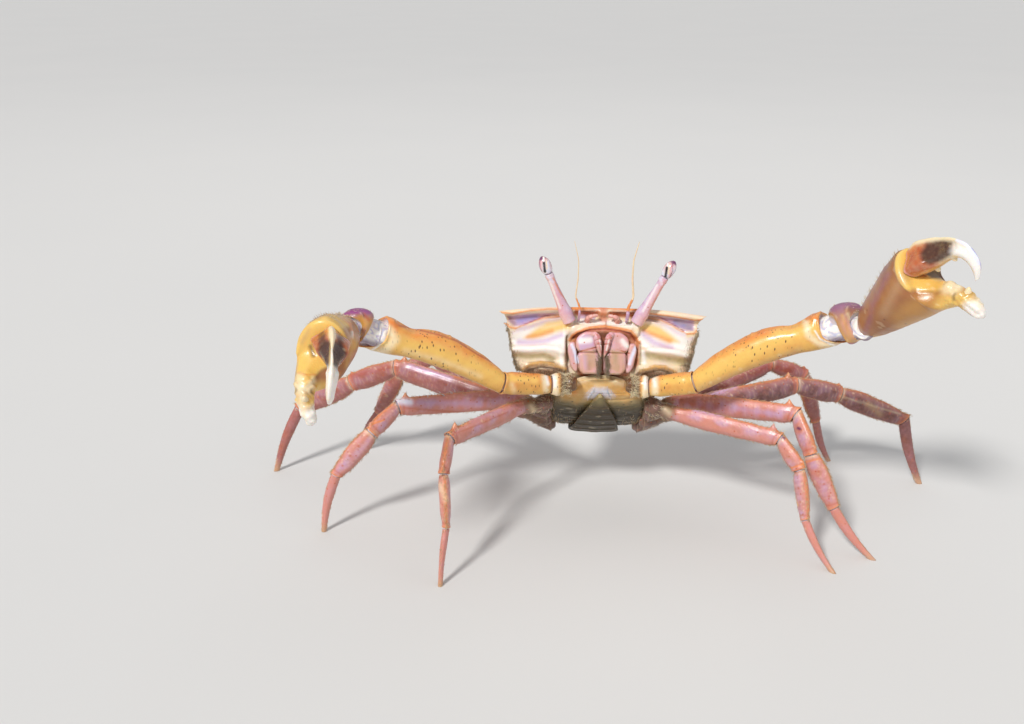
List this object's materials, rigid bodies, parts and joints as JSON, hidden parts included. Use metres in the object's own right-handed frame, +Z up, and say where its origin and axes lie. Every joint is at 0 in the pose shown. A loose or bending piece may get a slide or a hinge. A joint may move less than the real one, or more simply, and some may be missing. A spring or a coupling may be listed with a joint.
{
  "type": "angular crab",
  "caption": "Life-size angular crab, reared up on its walking legs with both claws spread wide and long eyestalks raised, in separate named body parts.",
  "frame": {"origin": "on the floor, under the middle of the crab's bounding box", "axes": "+X towards the crab's own left claw, -Y the way the crab faces, +Z up"},
  "size_m": [0.1314, 0.0702, 0.061],
  "materials": {
    "shell": "satin shell, rose to tan with cream and orange edges",
    "sternum": "satin shell, cream to olive",
    "abdomen": "matt shell, dark olive brown",
    "mouthpart": "satin shell, pink brown",
    "eyestalk": "satin shell, lilac pink",
    "eye": "wet gloss, salmon grey with a dark cap",
    "antenna": "satin shell, orange brown to whitish",
    "arm": "satin shell, yellow ochre with small dark dashes",
    "carpus": "satin shell, mauve purple on top and ochre on the side",
    "palm": "satin shell, brown ochre with a mauve upper edge",
    "claw_finger": "satin shell, cream white with a brown hollow",
    "leg": "satin shell, salmon pink with lilac faces and small spots"
  },
  "bodies": {
    "root": {"carapace": "shell", "sternum": "sternum", "abdomen": "abdomen", "maxilliped_left": "mouthpart", "eyestalk_left": "eyestalk", "eye_left": "eye", "antenna_left": "antenna", "antennule_left": "antenna", "arm_left_coxa": "arm", "arm_left_ischium": "arm", "arm_left_merus": "arm", "arm_left_carpus": "carpus", "arm_left_palm": "palm", "arm_left_dactyl": "claw_finger", "leg1_left_merus": "leg", "leg1_left_carpus": "leg", "leg1_left_propodus": "leg", "leg1_left_dactyl": "leg", "leg2_left_merus": "leg", "leg2_left_carpus": "leg", "leg2_left_propodus": "leg", "leg2_left_dactyl": "leg", "leg3_left_merus": "leg", "leg3_left_carpus": "leg", "leg3_left_propodus": "leg", "leg3_left_dactyl": "leg", "leg4_left_merus": "leg", "leg4_left_carpus": "leg", "leg4_left_propodus": "leg", "leg4_left_dactyl": "leg", "maxilliped_right": "mouthpart", "eyestalk_right": "eyestalk", "eye_right": "eye", "antenna_right": "antenna", "antennule_right": "antenna", "arm_right_coxa": "arm", "arm_right_ischium": "arm", "arm_right_merus": "arm", "arm_right_carpus": "carpus", "arm_right_palm": "palm", "arm_right_dactyl": "claw_finger", "leg1_right_merus": "leg", "leg1_right_carpus": "leg", "leg1_right_propodus": "leg", "leg1_right_dactyl": "leg", "leg2_right_merus": "leg", "leg2_right_carpus": "leg", "leg2_right_propodus": "leg", "leg2_right_dactyl": "leg", "leg3_right_merus": "leg", "leg3_right_carpus": "leg", "leg3_right_propodus": "leg", "leg3_right_dactyl": "leg", "leg4_right_merus": "leg", "leg4_right_carpus": "leg", "leg4_right_propodus": "leg", "leg4_right_dactyl": "leg"}
  },
  "joints": []
}
